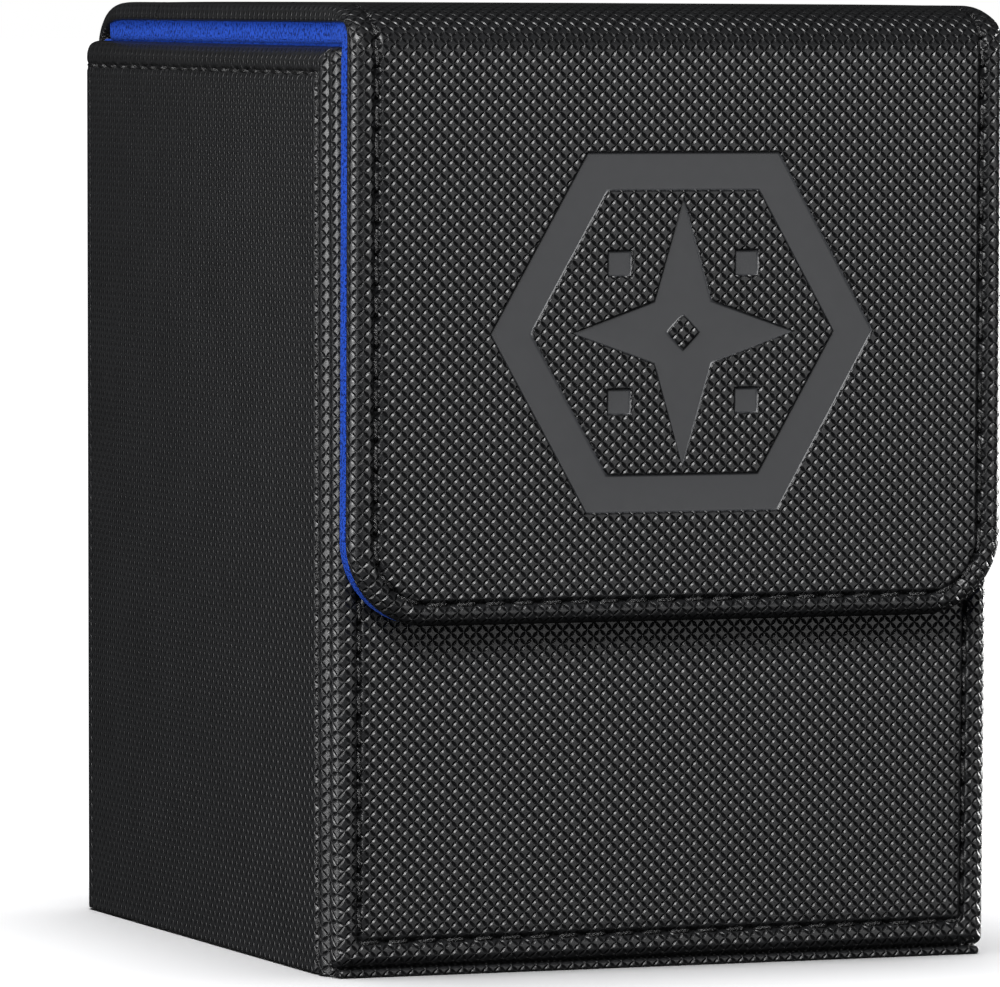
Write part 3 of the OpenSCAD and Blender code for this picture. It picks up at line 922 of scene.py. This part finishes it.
def floor():
    """A plain pale floor, a wide disc with a light of its own, which the box doesn't mirror."""
    rings, n = [0.0, 0.5, 1.0, 3.0, 10.0, 60.0], 64
    angles = [2 * math.pi * i / n for i in range(n)]
    verts = [(0.0, 0.0, 0.0)]
    for r in rings[1:]:
        verts += [(r * math.cos(a), r * math.sin(a), 0.0) for a in angles]
    faces = [(0, 1 + i, 1 + (i + 1) % n) for i in range(n)]
    for k in range(len(rings) - 2):
        a, b = 1 + k * n, 1 + (k + 1) * n
        faces += [(a + i, b + i, b + (i + 1) % n, a + (i + 1) % n) for i in range(n)]
    me = bpy.data.meshes.new("floor")
    me.from_pydata(verts, [], faces)
    me.materials.append(floor_material())
    obj = bpy.data.objects.new("floor", me)
    bpy.context.scene.collection.objects.link(obj)
    obj.visible_glossy = obj.visible_diffuse = False
    for name, state in (("floor_only", "INCLUDE"), ("all_but_floor", "EXCLUDE")):
        group = bpy.data.collections.new(name)
        group.objects.link(obj)
        group.collection_objects[0].light_linking.link_state = state
    data = bpy.data.lights.new("floor_light", "SUN")
    data.energy, data.angle = FLOOR_SUN, math.radians(FLOOR_SUN_WIDTH)
    sun = bpy.data.objects.new("floor_light", data)
    bpy.context.scene.collection.objects.link(sun)
    sun.light_linking.receiver_collection = bpy.data.collections["floor_only"]


def area_light(name, azimuth, elevation, distance, size, power, height=None):
    """A softbox aimed at the box, square unless it has a height. Azimuth 0 is in front of the box, 90 on its
    right. Angles are in degrees, lengths in metres and power is in watts. No camera sees it, and the floor
    isn't lit by it."""
    data = bpy.data.lights.new(name, "AREA")
    data.shape, data.size, data.size_y, data.energy = "RECTANGLE", size, height or size, power
    obj = bpy.data.objects.new(name, data)
    obj.light_linking.receiver_collection = bpy.data.collections["all_but_floor"]
    obj.visible_camera = False
    a, e = math.radians(azimuth), math.radians(elevation)
    back = Vector((math.sin(a) * math.cos(e), -math.cos(a) * math.cos(e), math.sin(e)))
    obj.location = Vector((0, 0, 0.05)) + back * distance
    obj.rotation_euler = (-back).to_track_quat("-Z", "Y").to_euler()
    bpy.context.scene.collection.objects.link(obj)


def lights():
    area_light("key", azimuth=-36, elevation=40, distance=1.1, size=0.45, power=20.5)
    area_light("edge", azimuth=-70, elevation=4, distance=0.5, size=0.16, power=1.9)
    area_light("side", azimuth=-87, elevation=10, distance=0.24, size=0.06, height=0.25, power=0.36)
    area_light("fill", azimuth=30, elevation=2, distance=1.4, size=0.8, power=6.5)
    area_light("rear", azimuth=104, elevation=0, distance=1.1, size=0.6, height=0.1, power=9)
    area_light("back", azimuth=134, elevation=0, distance=1.1, size=0.5, height=0.1, power=9)


def world():
    """An even white studio: the camera sees white, and the box gets a softer share of it."""
    w = bpy.data.worlds.new("studio")
    bpy.context.scene.world = w
    w.use_nodes = True
    tree = w.node_tree
    back = tree.nodes["Background"]
    ray = tree.nodes.new("ShaderNodeLightPath")
    strength = tree.nodes.new("ShaderNodeMix")
    strength.inputs[2].default_value, strength.inputs[3].default_value = WORLD_ON_BOX, 1.0
    tree.links.new(ray.outputs["Is Camera Ray"], strength.inputs[0])
    tree.links.new(strength.outputs[0], back.inputs["Strength"])
    back.inputs["Color"].default_value = (1.0, 1.0, 1.0, 1.0)


LENS = 323.0                                                # millimetres
CAMERA_TURN, CAMERA_PITCH, CAMERA_ROLL = 22.1, 2.96, 0.24   # degrees
CAMERA_DISTANCE = 0.96936                                   # metres from the point it looks at
LOOK_AT = Vector((0.0, 0.001225, 0.051))
AIM_LEFT, AIM_DOWN = 0.00304, 0.0036                        # how far it then aims past that, in metres


def camera():
    """The photograph's view: from the left front, level with the lid, with a long lens."""
    data = bpy.data.cameras.new("camera")
    data.lens, data.sensor_width = LENS, 36.0
    data.clip_start, data.clip_end = 0.05, 20.0
    obj = bpy.data.objects.new("camera", data)
    turn, pitch = math.radians(CAMERA_TURN), math.radians(CAMERA_PITCH)
    ahead = Vector((math.sin(turn) * math.cos(pitch), math.cos(turn) * math.cos(pitch), -math.sin(pitch)))
    right = Vector((math.cos(turn), -math.sin(turn), 0.0))
    up = right.cross(ahead)
    obj.location = LOOK_AT - ahead * CAMERA_DISTANCE
    look = (LOOK_AT - right * AIM_LEFT - up * AIM_DOWN - obj.location).normalized()
    right = look.cross(Vector((0, 0, 1))).normalized()
    axes = Matrix((right, right.cross(look), -look)).transposed()
    obj.rotation_euler = (axes @ Matrix.Rotation(math.radians(CAMERA_ROLL), 3, "Z")).to_euler()
    bpy.context.scene.collection.objects.link(obj)
    bpy.context.scene.camera = obj


camera()
world()
floor()
lights()
front_panel()
side_panel(-1, "left")
side_panel(1, "right")
wrap()
base()
linings()
carried_nodes()
bpy.context.scene.view_settings.view_transform = "Standard"
